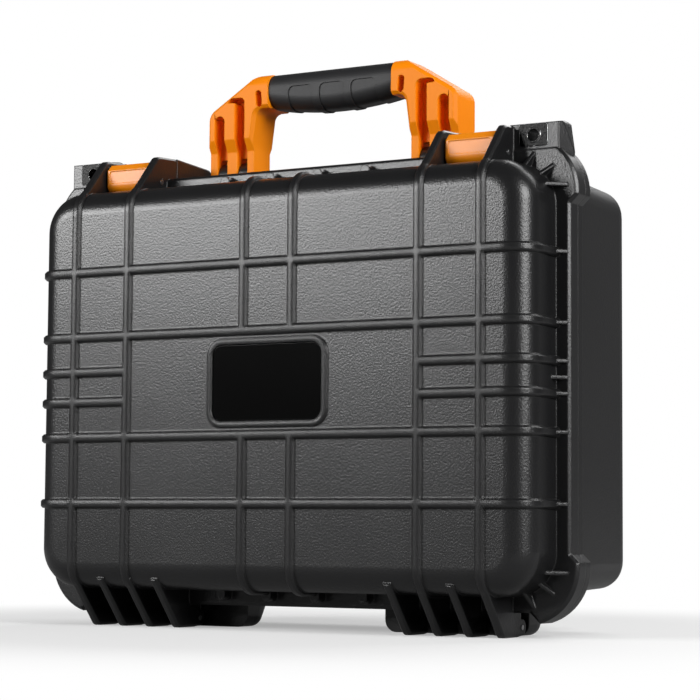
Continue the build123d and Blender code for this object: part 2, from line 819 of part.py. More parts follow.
def lock_plate(plane, depth, side):
    """Steel plate on one face of a lock tab, with the collar that lines its hole."""
    with BuildPart() as plate:
        with BuildSketch(plane.offset(depth - plate_sink)):
            with Locations((side * tab_x, tab_z)):
                RectangleRounded(plate_w, plate_h, plate_r)
        extrude(amount=plate_t)
        with BuildSketch(plane.offset(collar_short)):
            with Locations((side * tab_x, tab_z)):
                Circle(lock_r + collar_t)
        extrude(amount=depth - collar_short + plate_t - plate_sink + collar_proud)
        with BuildSketch(plane):
            with Locations((side * tab_x, tab_z)):
                Circle(lock_r)
        extrude(amount=depth + 2 * plate_t, mode=Mode.SUBTRACT)
    return plate


lock_plates = []
for side, word in sides_named:
    lid_plate = lock_plate(to_front, rim_lid - tab_back, side)
    lid_plate.part.label = f"lid_lock_plate_{word}"
    base_plate = lock_plate(to_back, rim_base - tab_back, -side)
    base_plate.part.label = f"base_lock_plate_{word}"
    lock_plates += [lid_plate, base_plate]

# Handle frame: two legs with forked feet, joined by the core inside the grip
handle_plane = Plane((0, handle_y, pivot_z), x_dir=(1, 0, 0), z_dir=(0, -1, 0))
side_plane = Plane((0, handle_y, pivot_z), x_dir=(0, 1, 0), z_dir=(1, 0, 0))
leg_out = leg_x + leg_w / 2
leg_in = leg_x - leg_w / 2
leg_end = -leg_low_t / 2
grip_rise = handle_rise - grip_end_h / 2
with BuildPart() as handle_frame:
    with BuildSketch(handle_plane):
        for side in sides:
            with BuildLine():
                FilletPolyline(
                    (side * leg_out, leg_end),
                    (side * leg_out, shoulder_rise),
                    (side * crown_x, handle_rise),
                    (side * grip_x, handle_rise),
                    radius=[shoulder_r, crown_r],
                )
                Line((side * grip_x, handle_rise), (side * grip_x, throat_rise))
                FilletPolyline(
                    (side * grip_x, throat_rise),
                    (side * throat_x, throat_rise),
                    (side * leg_in, throat_low),
                    (side * leg_in, leg_end),
                    radius=[throat_r, throat_low_r],
                )
                Line((side * leg_in, leg_end), (side * leg_out, leg_end))
            make_face()
    extrude(amount=leg_high_t / 2, both=True)
    outline = handle_frame.faces().filter_by(Axis.Y).edges()
    bevelled = outline.filter_by(
        lambda e: abs(abs(e.center().X) - grip_x) > 0.01 and e.center().Z > pivot_z + leg_end + 1
    )
    chamfer(bevelled, leg_edge)
    with BuildSketch(side_plane):
        with BuildLine():
            FilletPolyline(
                (-leg_low_t / 2, 0),
                (-leg_low_t / 2, step_low),
                (-leg_high_t / 2, step_high),
                (-leg_high_t / 2, handle_rise),
                (leg_high_t / 2, handle_rise),
                (leg_high_t / 2, step_high),
                (leg_low_t / 2, step_low),
                (leg_low_t / 2, 0),
                radius=[step_low_r, step_low_r, step_high_r, step_high_r, step_low_r, step_low_r],
            )
            Line((leg_low_t / 2, 0), (-leg_low_t / 2, 0))
        make_face()
        Circle(leg_low_t / 2)
    extrude(amount=wide, both=True, mode=Mode.INTERSECT)
    for face_side in sides:
        with BuildSketch(handle_plane.offset(face_side * groove_web / 2)):
            for side in sides:
                for gap, top in ((gap_x, outer_groove_rise), (-gap_x, inner_groove_rise)):
                    with Locations((side * (leg_x + gap), (top + leg_end) / 2)):
                        SlotOverall(top - leg_end + prong_gap, prong_gap, rotation=90)
                with Locations((side * slit_x, (slit_low + slit_high) / 2)):
                    SlotOverall(slit_high - slit_low, slit_w, rotation=90 - side * slit_tilt)
        extrude(amount=face_side * leg_high_t, mode=Mode.SUBTRACT)
    with BuildSketch(handle_plane):
        with Locations(*[(side * leg_x + gap, leg_end) for side in sides for gap in (-gap_x, gap_x)]):
            Rectangle(prong_gap, 2 * (gap_rise - leg_end))
    extrude(amount=leg_high_t, both=True, mode=Mode.SUBTRACT)
    with BuildSketch(side_plane):
        with Locations((0, grip_rise)):
            RectangleRounded(core_t, core_h, core_r)
    extrude(amount=grip_x, both=True)
    with Locations(handle_axis):
        Cylinder(handle_pin_r + run_gap, wide, mode=Mode.SUBTRACT)
handle_frame.part.label = "handle_frame"

# Rubber grip moulded over the core, fuller in the middle
with BuildPart() as handle_grip:
    for x, tall in ((-grip_x, grip_end_h), (0, grip_mid_h), (grip_x, grip_end_h)):
        with BuildSketch(side_plane.offset(x)):
            with Locations((0, handle_rise - tall / 2)):
                RectangleRounded(grip_t, tall, grip_r)
    loft()
    with BuildSketch(side_plane):
        with Locations((0, grip_rise)):
            RectangleRounded(core_t, core_h, core_r)
    extrude(amount=grip_x, both=True, mode=Mode.SUBTRACT)
handle_grip.part.label = "handle_grip"

# Valve: a capped stem through the top wall, over its ring seal
valve_plane = Plane((0, handle_y, valve_z))
with BuildPart() as valve_body:
    with BuildSketch(valve_plane):
        Circle(valve_r)
    extrude(amount=valve_cap_h)
    chamfer(valve_body.faces().sort_by(Axis.Z)[-1].edges(), valve_edge)
    with BuildSketch(valve_plane.offset(valve_cap_h)):
        with PolarLocations(valve_r, valve_notches):
            Rectangle(notch_l, notch_w)
    extrude(amount=-valve_cap_h / 2, mode=Mode.SUBTRACT)
    with BuildSketch(valve_plane):
        Circle(valve_stem_r)
    extrude(amount=-(wall + valve_boss))
valve_body.part.label = "valve_body"
with BuildPart() as valve_seal:
    with BuildSketch(valve_plane):
        Circle(valve_seal_r)
        Circle(valve_stem_r, mode=Mode.SUBTRACT)
    extrude(amount=-valve_seal_t)
valve_seal.part.label = "valve_seal"

# Foam: a back sheet, a plain layer and a layer with a pocket in the base, a sheet in the lid
base_bed = base_form(-wall - foam_gap)
lid_bed = lid_form(-wall - foam_gap)
bed_back = base_depth - wall - foam_gap
pocket_floor = foam_top + pocket_d
with BuildPart() as base_foam_sheet:
    add(base_bed)
    with BuildSketch(to_back.offset(bed_back - foam_pad_t)):
        Rectangle(wide, wide)
    extrude(amount=2 * foam_pad_t, mode=Mode.INTERSECT)
base_foam_sheet.part.label = "base_foam_sheet"
with BuildPart() as base_foam_layer:
    add(base_bed)
    with BuildSketch(to_back.offset(pocket_floor)):
        Rectangle(wide, wide)
    extrude(amount=bed_back - foam_pad_t - pocket_floor, mode=Mode.INTERSECT)
base_foam_layer.part.label = "base_foam_layer"
with BuildPart() as base_foam_block:
    add(base_bed)
    with BuildSketch(to_back.offset(foam_top)):
        Rectangle(wide, wide)
        Rectangle(pocket_cells_x * foam_cell, pocket_cells_z * foam_cell, mode=Mode.SUBTRACT)
    extrude(amount=pocket_d, mode=Mode.INTERSECT)
base_foam_block.part.label = "base_foam_block"
with BuildPart() as lid_foam_sheet:
    add(lid_bed)
    with BuildSketch(to_front.offset(lid_depth - wall - foam_gap - lid_foam_t)):
        Rectangle(wide, wide)
    extrude(amount=lid_foam_t, mode=Mode.INTERSECT)
lid_foam_sheet.part.label = "lid_foam_sheet"

pieces = [base_shell, lid_shell, seal, label_plate, handle_frame, handle_grip, valve_body, valve_seal]
pieces += [base_foam_sheet, base_foam_layer, base_foam_block, lid_foam_sheet, *pins, *latches, *lock_plates]
os.makedirs("parts", exist_ok=True)
for piece in pieces:
    export_step(piece.part, f"parts/{piece.part.label}.step")
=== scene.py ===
"""Looks for the hard protective case: black shells, orange latches and handle, steel lock plates."""
import math

import bpy
from mathutils import Matrix, Vector
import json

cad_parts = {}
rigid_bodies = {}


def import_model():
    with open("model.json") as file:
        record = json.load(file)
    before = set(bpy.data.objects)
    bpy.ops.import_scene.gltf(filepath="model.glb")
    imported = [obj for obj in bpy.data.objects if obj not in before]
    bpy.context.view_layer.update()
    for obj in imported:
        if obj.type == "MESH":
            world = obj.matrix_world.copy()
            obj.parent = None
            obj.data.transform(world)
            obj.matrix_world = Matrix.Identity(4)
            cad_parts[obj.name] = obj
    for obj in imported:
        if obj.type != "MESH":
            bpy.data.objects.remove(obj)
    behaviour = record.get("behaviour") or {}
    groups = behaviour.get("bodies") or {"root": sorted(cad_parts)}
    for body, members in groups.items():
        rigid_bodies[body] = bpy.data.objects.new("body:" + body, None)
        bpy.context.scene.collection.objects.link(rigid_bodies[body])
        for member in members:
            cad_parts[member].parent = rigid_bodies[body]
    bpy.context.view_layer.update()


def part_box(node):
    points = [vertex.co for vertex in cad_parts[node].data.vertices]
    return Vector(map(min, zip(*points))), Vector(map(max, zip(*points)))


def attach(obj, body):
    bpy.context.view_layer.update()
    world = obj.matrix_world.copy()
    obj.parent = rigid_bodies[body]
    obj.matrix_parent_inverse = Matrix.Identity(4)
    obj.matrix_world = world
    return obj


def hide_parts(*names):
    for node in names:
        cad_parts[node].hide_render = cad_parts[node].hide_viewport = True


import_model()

nodes = bpy.data.objects

# The camera: low in front of the case and to its right, looking slightly up, with a long lens, so
# that the lid's grid of beads runs as it does in the photograph.
camera_place = Vector((0.7604, -1.3074, 0.0674))
camera_yaw = math.radians(29.75)
camera_pitch = math.radians(4.60)
camera_roll = math.radians(0.38)
camera_lens = 114.1
camera_sensor = 36.0
camera_reach = 30.0

camera_data = bpy.data.cameras.new("camera")
camera_data.lens = camera_lens
camera_data.sensor_width = camera_sensor
camera_data.clip_end = camera_reach
camera = bpy.data.objects.new("camera", camera_data)
bpy.context.collection.objects.link(camera)
turn = Matrix.Rotation(camera_yaw, 4, "Z") @ Matrix.Rotation(math.pi / 2 + camera_pitch, 4, "X")
camera.matrix_world = Matrix.Translation(camera_place) @ turn @ Matrix.Rotation(camera_roll, 4, "Z")
bpy.context.scene.camera = camera

# The studio floor: a large white sheet. It keeps the case's shadow near it and turns to plain white
# further off, where the camera or a gloss sees it; what it throws back on the case is dimmer.
floor_size = 12.0
floor_colour = (0.86, 0.86, 0.86, 1.0)
floor_bounce = (0.22, 0.22, 0.22, 1.0)
fade_start = 0.26
fade_end = 0.54
near_white = 0.38
gloss_share = 0.14

bpy.ops.object.select_all(action="DESELECT")
bpy.ops.mesh.primitive_plane_add(size=floor_size)
floor = bpy.context.object
floor.name = "floor"
floor_material = bpy.data.materials.new("white_floor")
floor_material.use_nodes = True
tree = floor_material.node_tree
tree.nodes.clear()
place = tree.nodes.new("ShaderNodeTexCoord")
distance = tree.nodes.new("ShaderNodeVectorMath")
distance.operation = "LENGTH"
fade = tree.nodes.new("ShaderNodeMapRange")
fade.interpolation_type = "SMOOTHSTEP"
fade.inputs["From Min"].default_value = fade_start
fade.inputs["From Max"].default_value = fade_end
fade.inputs["To Min"].default_value = near_white
path = tree.nodes.new("ShaderNodeLightPath")
seen = tree.nodes.new("ShaderNodeMath")
seen.operation = "MULTIPLY_ADD"
seen.inputs[1].default_value = gloss_share
seen_or_clear = tree.nodes.new("ShaderNodeMath")
seen_or_clear.operation = "MAXIMUM"
far = tree.nodes.new("ShaderNodeMath")
far.operation = "MULTIPLY"
tone = tree.nodes.new("ShaderNodeMix")
tone.data_type = "RGBA"
tone.inputs[6].default_value = floor_bounce
tone.inputs[7].default_value = floor_colour
matt = tree.nodes.new("ShaderNodeBsdfDiffuse")
white = tree.nodes.new("ShaderNodeEmission")
mix = tree.nodes.new("ShaderNodeMixShader")
result = tree.nodes.new("ShaderNodeOutputMaterial")
tree.links.new(place.outputs["Object"], distance.inputs[0])
tree.links.new(distance.outputs["Value"], fade.inputs["Value"])
tree.links.new(path.outputs["Is Glossy Ray"], seen.inputs[0])
tree.links.new(path.outputs["Is Camera Ray"], seen.inputs[2])
tree.links.new(seen.outputs["Value"], seen_or_clear.inputs[0])
tree.links.new(path.outputs["Is Transmission Ray"], seen_or_clear.inputs[1])
tree.links.new(seen_or_clear.outputs["Value"], tone.inputs[0])
tree.links.new(tone.outputs[2], matt.inputs["Color"])
tree.links.new(fade.outputs["Result"], far.inputs[0])
tree.links.new(seen_or_clear.outputs["Value"], far.inputs[1])
tree.links.new(far.outputs["Value"], mix.inputs["Fac"])
tree.links.new(matt.outputs["BSDF"], mix.inputs[1])
tree.links.new(white.outputs["Emission"], mix.inputs[2])
tree.links.new(mix.outputs["Shader"], result.inputs["Surface"])
floor.data.materials.append(floor_material)

# The studio room: white where the camera looks, and a low backdrop behind the case that glosses see.
# The rest of the room is dark.
room_white = (1.0, 1.0, 1.0, 1.0)
room_strength = 0.055
backdrop_way = Vector((0.22, 0.96, 0.14)).normalized()
backdrop_share = 0.12
backdrop_edge = 0.84
backdrop_middle = 0.985

world = bpy.data.worlds.new("studio")
bpy.context.scene.world = world
world.use_nodes = True
tree = world.node_tree
tree.nodes.clear()
path = tree.nodes.new("ShaderNodeLightPath")
way = tree.nodes.new("ShaderNodeTexCoord")
facing = tree.nodes.new("ShaderNodeVectorMath")
facing.operation = "DOT_PRODUCT"
facing.inputs[1].default_value = backdrop_way
hung = tree.nodes.new("ShaderNodeMapRange")
hung.interpolation_type = "SMOOTHSTEP"
hung.inputs["From Min"].default_value = backdrop_edge
hung.inputs["From Max"].default_value = backdrop_middle
hung.inputs["To Max"].default_value = backdrop_share
gloss = tree.nodes.new("ShaderNodeMath")
gloss.operation = "MULTIPLY"
either = tree.nodes.new("ShaderNodeMath")
either.operation = "MAXIMUM"
any_of = tree.nodes.new("ShaderNodeMath")
any_of.operation = "MAXIMUM"
room = tree.nodes.new("ShaderNodeBackground")
room.inputs["Color"].default_value = room_white
room.inputs["Strength"].default_value = room_strength
white = tree.nodes.new("ShaderNodeBackground")
white.inputs["Color"].default_value = room_white
mix = tree.nodes.new("ShaderNodeMixShader")
result = tree.nodes.new("ShaderNodeOutputWorld")
tree.links.new(way.outputs["Generated"], facing.inputs[0])
tree.links.new(facing.outputs["Value"], hung.inputs["Value"])
tree.links.new(hung.outputs["Result"], gloss.inputs[0])
tree.links.new(path.outputs["Is Glossy Ray"], gloss.inputs[1])
tree.links.new(path.outputs["Is Camera Ray"], either.inputs[0])
tree.links.new(path.outputs["Is Transmission Ray"], either.inputs[1])
tree.links.new(either.outputs["Value"], any_of.inputs[0])
tree.links.new(gloss.outputs["Value"], any_of.inputs[1])
tree.links.new(any_of.outputs["Value"], mix.inputs["Fac"])
tree.links.new(room.outputs["Background"], mix.inputs[1])
tree.links.new(white.outputs["Background"], mix.inputs[2])
tree.links.new(mix.outputs["Shader"], result.inputs["Surface"])
bpy.context.scene.view_settings.view_transform = "Standard"

# The lamps: a long low softbox in front on the left, whose lower edge gives the lid its bright top,
# a taller one on the right, which draws the light line down the lid's corner, and one high behind the
# case, which lights the rims of its top corners.
lamp_target = Vector((0.0, 0.0, 0.2))


def softbox(name, place, width, height, power):
    """A rectangular lamp at place that faces the middle of the case."""
    lamp_data = bpy.data.lights.new(name, "AREA")
    lamp_data.shape = "RECTANGLE"
    lamp_data.size = width
    lamp_data.size_y = height
    lamp_data.energy = power
    lamp = bpy.data.objects.new(name, lamp_data)
    bpy.context.collection.objects.link(lamp)
    lamp.location = place
    lamp.rotation_euler = (lamp_target - Vector(place)).to_track_quat("-Z", "Y").to_euler()


softbox("long_softbox", place=(-1.27, -1.69, 0.80), width=1.38, height=0.52, power=41)
softbox("side_softbox", place=(1.92, -0.67, 0.94), width=1.0, height=1.08, power=44)
softbox("rear_softbox", place=(0.25, 1.35, 1.55), width=1.6, height=1.0, power=20)

# Both shells and the valve: injection-moulded black polypropylene. The mould is spark-eroded, so the
# plastic has a fine grain and a satin gloss. The tops of the beads are rounded and rubbed smoother.
shell_black = ((0.0075, 0.0075, 0.0080), (0.0105, 0.0105, 0.0110))
# The shells' edges are painted a lighter black: partly wear, partly a painted highlight.
shell_wear_and_highlight = (0.016, 0.016, 0.016)
shell_gloss = (0.27, 0.31)
bead_line = -0.0868
bead_blend = 0.0012
bead_round = 0.0036
bead_grain = 0.25
edge_round = 0.0014
edge_rays = 6
# Edges are painted towards a lighter colour from here: partly wear, partly a painted highlight.
wear_and_highlight_start = 0.99
wear_and_highlight_full = 0.90
grains_per_cloud = 40
cloud_detail = 4.0
grain_detail = 2.0


def grained_material(name, colours, wear_and_highlight_colour, roughness, grain_scale, grain_height, edge_radius):
    """A moulded, drawn or stamped surface: two close colours, a fine grain, and soft edges, painted
    lighter partly as wear and partly as a painted highlight.
    """
    material = bpy.data.materials.new(name)
    material.use_nodes = True
    tree = material.node_tree
    shader = tree.nodes["Principled BSDF"]
    place = tree.nodes.new("ShaderNodeTexCoord")
    cloud = tree.nodes.new("ShaderNodeTexNoise")
    cloud.inputs["Scale"].default_value = grain_scale / grains_per_cloud
    cloud.inputs["Detail"].default_value = cloud_detail
    tone = tree.nodes.new("ShaderNodeMix")
    tone.data_type = "RGBA"
    tone.inputs[6].default_value = (*colours[0], 1.0)
    tone.inputs[7].default_value = (*colours[1], 1.0)
    gloss = tree.nodes.new("ShaderNodeMapRange")
    gloss.inputs["To Min"].default_value = roughness[0]
    gloss.inputs["To Max"].default_value = roughness[1]
    grain = tree.nodes.new("ShaderNodeTexNoise")
    grain.inputs["Scale"].default_value = grain_scale
    grain.inputs["Detail"].default_value = grain_detail
    edge = tree.nodes.new("ShaderNodeBevel")
    edge.samples = edge_rays
    edge.inputs["Radius"].default_value = edge_radius
    face = tree.nodes.new("ShaderNodeNewGeometry")
    turned = tree.nodes.new("ShaderNodeVectorMath")
    turned.operation = "DOT_PRODUCT"
    # Edges, hollow and standing alike, are painted lighter: partly wear, partly a painted highlight.
    wear_and_highlight_mask = tree.nodes.new("ShaderNodeMapRange")
    wear_and_highlight_mask.inputs["From Min"].default_value = wear_and_highlight_start
    wear_and_highlight_mask.inputs["From Max"].default_value = wear_and_highlight_full
    wear_and_highlight_tint = tree.nodes.new("ShaderNodeMix")
    wear_and_highlight_tint.data_type = "RGBA"
    wear_and_highlight_tint.inputs[7].default_value = (*wear_and_highlight_colour, 1.0)
    bump = tree.nodes.new("ShaderNodeBump")
    bump.name = "grain_bump"
    bump.inputs["Strength"].default_value = 1.0
    bump.inputs["Distance"].default_value = grain_height
    tree.links.new(place.outputs["Object"], cloud.inputs["Vector"])
    tree.links.new(place.outputs["Object"], grain.inputs["Vector"])
    tree.links.new(cloud.outputs["Fac"], tone.inputs[0])
    tree.links.new(edge.outputs["Normal"], turned.inputs[0])
    tree.links.new(face.outputs["Normal"], turned.inputs[1])
    tree.links.new(turned.outputs["Value"], wear_and_highlight_mask.inputs["Value"])
    tree.links.new(wear_and_highlight_mask.outputs["Result"], wear_and_highlight_tint.inputs[0])
    tree.links.new(tone.outputs[2], wear_and_highlight_tint.inputs[6])
    tree.links.new(wear_and_highlight_tint.outputs[2], shader.inputs["Base Color"])
    tree.links.new(cloud.outputs["Fac"], gloss.inputs["Value"])
    tree.links.new(gloss.outputs["Result"], shader.inputs["Roughness"])
    tree.links.new(grain.outputs["Fac"], bump.inputs["Height"])
    tree.links.new(edge.outputs["Normal"], bump.inputs["Normal"])
    tree.links.new(bump.outputs["Normal"], shader.inputs["Normal"])
    return material


def dress(names, material):
    """Gives one material to these CAD nodes."""
    for name in names:
        mesh = nodes[name].data
        mesh.materials.clear()
        mesh.materials.append(material)


shell_plastic = grained_material(
    "shell_plastic", shell_black, shell_wear_and_highlight, roughness=shell_gloss,
    grain_scale=790.0, grain_height=0.00014, edge_radius=edge_round,
)
tree = shell_plastic.node_tree
axes = tree.nodes.new("ShaderNodeSeparateXYZ")
rubbed = tree.nodes.new("ShaderNodeMapRange")
rubbed.inputs["From Min"].default_value = bead_line - bead_blend
rubbed.inputs["From Max"].default_value = bead_line
rubbed.inputs["To Min"].default_value = bead_grain
tree.links.new(tree.nodes["Texture Coordinate"].outputs["Object"], axes.inputs["Vector"])
tree.links.new(axes.outputs["Y"], rubbed.inputs["Value"])
tree.links.new(rubbed.outputs["Result"], tree.nodes["grain_bump"].inputs["Strength"])
rounding = tree.nodes.new("ShaderNodeMapRange")
rounding.inputs["From Min"].default_value = bead_line
rounding.inputs["From Max"].default_value = bead_line + bead_blend
rounding.inputs["To Min"].default_value = bead_round
rounding.inputs["To Max"].default_value = edge_round
tree.links.new(axes.outputs["Y"], rounding.inputs["Value"])
tree.links.new(rounding.outputs["Result"], tree.nodes["Bevel"].inputs["Radius"])
dress(["lid_shell", "base_shell", "valve_body"], shell_plastic)

# Label plate: a thin black plastic plate with a polished face. It is pressed into its frame in the
# middle of the lid and left bare.
label_black = ((0.0012, 0.0012, 0.0012), (0.0020, 0.0020, 0.0020))
# The label's edges are painted a lighter black: partly wear, partly a painted highlight.
label_wear_and_highlight = (0.004, 0.004, 0.004)
label_specular = 0.30
label_gloss = grained_material(
    "label_gloss", label_black, label_wear_and_highlight, roughness=(0.08, 0.12),
    grain_scale=250.0, grain_height=0.000006, edge_radius=0.0004,
)
label_gloss.node_tree.nodes["Principled BSDF"].inputs["Specular IOR Level"].default_value = label_specular
dress(["label_plate"], label_gloss)

# Latches: each one moulding of orange nylon on a steel pin. Their mould is polished, so their faces are
# glossier than the handle's and show the softbox in front as a pale sheen.
latch_orange = ((0.80, 0.225, 0.001), (0.85, 0.255, 0.002))
# The latches' edges are painted a paler orange: partly wear, partly a painted highlight.
latch_wear_and_highlight = (0.90, 0.30, 0.010)
latch_nylon = grained_material(
    "latch_nylon", latch_orange, latch_wear_and_highlight, roughness=(0.32, 0.38),
    grain_scale=1300.0, grain_height=0.00003, edge_radius=0.0010,
)
dress(["latch_left", "latch_right"], latch_nylon)

# Seals: soft black rubber cords with a matt skin, one pressed into the lid's groove and one under the
# valve.
seal_black = ((0.012, 0.012, 0.012), (0.018, 0.018, 0.018))
# The seals' edges are painted a lighter black: partly wear, partly a painted highlight.
seal_wear_and_highlight = (0.022, 0.022, 0.022)
seal_rubber = grained_material(
    "seal_rubber", seal_black, seal_wear_and_highlight, roughness=(0.6, 0.7),
    grain_scale=700.0, grain_height=0.00005, edge_radius=0.0005,
)
dress(["lid_seal", "valve_seal"], seal_rubber)

# Lock plates: stamped steel, rolled into a collar that lines the padlock hole. They have a dark,
# speckled coat; their edges are painted as bright steel, partly as wear through the coat and partly as a
# painted highlight.
coat_colours = ((0.002, 0.002, 0.002), (0.014, 0.014, 0.014))
coat_wear_and_highlight = (0.42, 0.42, 0.42)
dark_steel = grained_material(
    "dark_steel", coat_colours, coat_wear_and_highlight, roughness=(0.16, 0.24),
    grain_scale=900.0, grain_height=0.00020, edge_radius=0.0006,
)
dark_steel.node_tree.nodes["Principled BSDF"].inputs["Metallic"].default_value = 1.0
for side in ("left", "right"):
    dress([f"lid_lock_plate_{side}", f"base_lock_plate_{side}"], dark_steel)

# Pins of the hinges, latches and handle: lengths of drawn steel rod, bright and plain. They are pushed
# in from the side through the bores of the mouldings.
rod_colours = ((0.40, 0.40, 0.41), (0.52, 0.52, 0.52))
# The pins' edges are painted brighter: partly wear, partly a painted highlight.
rod_wear_and_highlight = (0.58, 0.58, 0.58)
pin_steel = grained_material(
    "pin_steel", rod_colours, rod_wear_and_highlight, roughness=(0.22, 0.36),
    grain_scale=1100.0, grain_height=0.00005, edge_radius=0.0003,
)
pin_steel.node_tree.nodes["Principled BSDF"].inputs["Metallic"].default_value = 1.0
for side in ("left", "right"):
    dress([f"hinge_pin_{side}", f"latch_pin_{side}", f"handle_pin_{side}"], pin_steel)

# Grip: matt dark rubber moulded over the handle's core. Three shallow recesses for the fingers step
# down from its skin. They are open below and run round to the back.
grip_black = ((0.013, 0.013, 0.014), (0.019, 0.019, 0.020))
# The grip's edges are painted a lighter black: partly wear, partly a painted highlight.
grip_wear_and_highlight = (0.030, 0.030, 0.031)
grip_specular = 0.34
recess_count = 3
recess_depth = 0.0007
recess_left = -0.033
recess_pitch = 0.025
recess_width = 0.0195
recess_top = 0.3732
recess_reach = 0.030
recess_round = 0.004
recess_steps = 5
doubled_corner = 0.00002
smooth_angle = math.radians(32)


def cad_copy(node, name):
    """A new piece with the shape of a CAD node, its doubled corners merged."""
    bpy.ops.object.select_all(action="DESELECT")
    piece = bpy.data.objects.new(name, nodes[node].data.copy())
    bpy.context.collection.objects.link(piece)
    bpy.context.view_layer.objects.active = piece
    piece.select_set(True)
    piece.data.materials.clear()
    bpy.ops.mesh.customdata_custom_splitnormals_clear()
    bpy.ops.object.mode_set(mode="EDIT")
    bpy.ops.mesh.select_all(action="SELECT")
    bpy.ops.mesh.remove_doubles(threshold=doubled_corner)
    bpy.ops.object.mode_set(mode="OBJECT")
    return piece


def block(name, low, high):
    """A box between two corners, finished at the origin."""
    bpy.ops.object.select_all(action="DESELECT")
    middle = [(a + b) / 2 for a, b in zip(low, high)]
    size = [b - a for a, b in zip(low, high)]
    bpy.ops.mesh.primitive_cube_add(size=1.0, location=middle, scale=size)
    piece = bpy.context.object
    piece.name = name
    bpy.ops.object.transform_apply(location=True, rotation=True, scale=True)
    return piece


def modify(piece, kind, **values):
    """Adds one modifier to a piece and applies it."""
    bpy.ops.object.select_all(action="DESELECT")
    bpy.context.view_layer.objects.active = piece
    piece.select_set(True)
    bpy.ops.object.modifier_add(type=kind)
    modifier = piece.modifiers[-1]
    for key, value in values.items():
        setattr(modifier, key, value)
    bpy.ops.object.modifier_apply(modifier=modifier.name)


def combine(piece, tool, operation):
    """Cuts a piece with a tool, or keeps what they share, and removes the tool."""
    modify(piece, "BOOLEAN", operation=operation, solver="EXACT", object=tool)
    bpy.data.objects.remove(tool)


def finish_piece(piece, material, body):
    """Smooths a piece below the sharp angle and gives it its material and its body."""
    bpy.ops.object.select_all(action="DESELECT")
    bpy.context.view_layer.objects.active = piece
    piece.select_set(True)
    bpy.ops.object.shade_smooth_by_angle(angle=smooth_angle)
    piece.data.materials.clear()
    piece.data.materials.append(material)
    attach(piece, body)


grip_low, grip_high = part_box("handle_grip")
grip = cad_copy("handle_grip", "grip")
core = cad_copy("handle_grip", "grip_core")
modify(core, "DISPLACE", strength=-recess_depth, mid_level=0.0)
recesses = block(
    "recesses",
    (recess_left, grip_low[1] - recess_reach, grip_low[2] - recess_reach),
    (recess_left + recess_width, grip_high[1] + recess_reach, recess_top),
)
modify(recesses, "BEVEL", width=recess_round, segments=recess_steps)
modify(
    recesses, "ARRAY", count=recess_count, use_relative_offset=False, use_constant_offset=True,
    constant_offset_displace=(recess_pitch, 0.0, 0.0),
)
combine(recesses, core, "DIFFERENCE")
combine(grip, recesses, "DIFFERENCE")
grip_rubber = grained_material(
    "grip_rubber", grip_black, grip_wear_and_highlight, roughness=(0.48, 0.56),
    grain_scale=1100.0, grain_height=0.00010, edge_radius=0.0003,
)
grip_rubber.node_tree.nodes["Principled BSDF"].inputs["Specular IOR Level"].default_value = grip_specular
finish_piece(grip, grip_rubber, "handle")
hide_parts("handle_grip")

# Handle frame: one moulding of orange nylon with a satin, fine-grained face. Its shoulders stand a
# little fuller than the CAD solid's: their corners are moved outwards near the crown and upwards at
# the leg.
nylon_orange = ((0.86, 0.225, 0.001), (0.91, 0.255, 0.002))
# The handle's edges are painted a paler orange: partly wear, partly a painted highlight.
nylon_wear_and_highlight = (0.94, 0.30, 0.010)
nylon_specular = 0.14
crown_inside = 0.0492
shoulder_inside = 0.0925
shoulder_foot = 0.3495
slope_top = Vector((0.052, 0.384))
slope_foot = Vector((0.0985, 0.355))
slope_skin = 0.0029
crown_reach = 0.0060
shoulder_lift = 0.0037

slope = (slope_foot - slope_top).normalized()
slope_out = Vector((-slope.y, slope.x))
handle = cad_copy("handle_frame", "handle")
for corner in handle.data.vertices:
    out = abs(corner.co.x)
    above = slope_out.dot(Vector((out, corner.co.z)) - slope_top)
    if out > shoulder_inside and corner.co.z > shoulder_foot:
        corner.co.z += shoulder_lift
    elif crown_inside < out <= shoulder_inside and above > -slope_skin:
        corner.co.x += math.copysign(crown_reach, corner.co.x)
orange_nylon = grained_material(
    "orange_nylon", nylon_orange, nylon_wear_and_highlight, roughness=(0.44, 0.50),
    grain_scale=1300.0, grain_height=0.00003, edge_radius=0.0010,
)
orange_nylon.node_tree.nodes["Principled BSDF"].inputs["Specular IOR Level"].default_value = nylon_specular
finish_piece(handle, orange_nylon, "handle")
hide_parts("handle_frame")

# Foam in the base: open-cell polyurethane. The block is slit into cubes on its open face, with the
# middle ones picked out for a pocket, and lies on a layer and a thin sheet with soft cut edges.
foam_grey = (0.030, 0.030, 0.032)
foam_roughness = 0.95
foam_specular = 0.2
# The pores are painted dark, as painted shade inside them; the bump also sinks them.
pore_painted_shade = (0.006, 0.006, 0.006)
pore_scale = 1100.0
pore_depth = 0.0005
pore_floor = 0.15
pore_rim = 0.60
cube_side = 0.015
slit_width = 0.0009
slit_depth = 0.0020
slit_columns = 25
slit_rows = 18
foam_edge = 0.0016
foam_edge_steps = 3
foam_edge_angle = math.radians(50)


